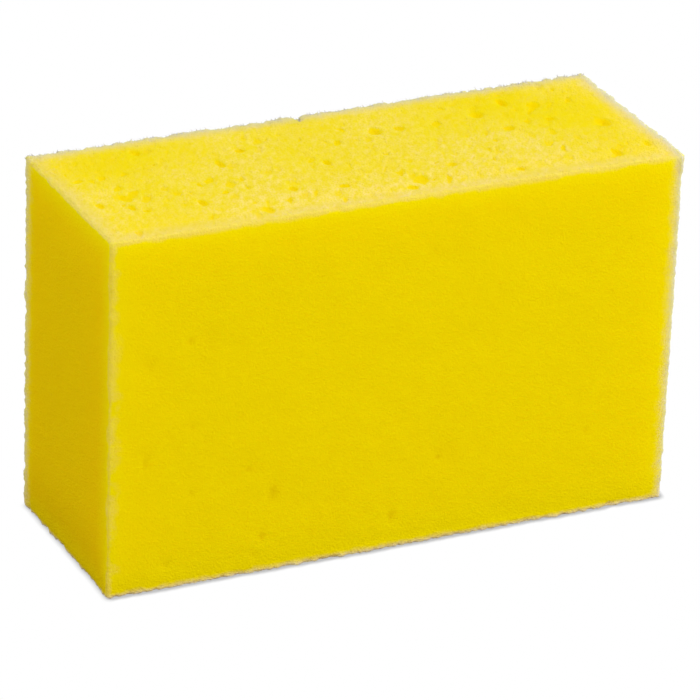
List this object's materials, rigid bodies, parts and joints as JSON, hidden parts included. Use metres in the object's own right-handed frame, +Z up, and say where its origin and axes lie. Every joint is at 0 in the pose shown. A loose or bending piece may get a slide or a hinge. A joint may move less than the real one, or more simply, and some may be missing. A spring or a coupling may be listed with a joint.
{
  "type": "cleaning sponge",
  "caption": "Rectangular block of fine open-cell foam with knife-cut faces, used wet or dry for washing and wiping surfaces.",
  "frame": {"origin": "middle of the long narrow face that the block stands on", "axes": "+X along the length, +Y through the thickness, +Z up along the height"},
  "size_m": [0.16, 0.058, 0.1],
  "materials": {
    "foam": "yellow open-cell polyurethane foam, knife-cut, dry and fully matte, paler along its frayed edges"
  },
  "bodies": {
    "root": {"foam_block": "foam"}
  },
  "joints": []
}
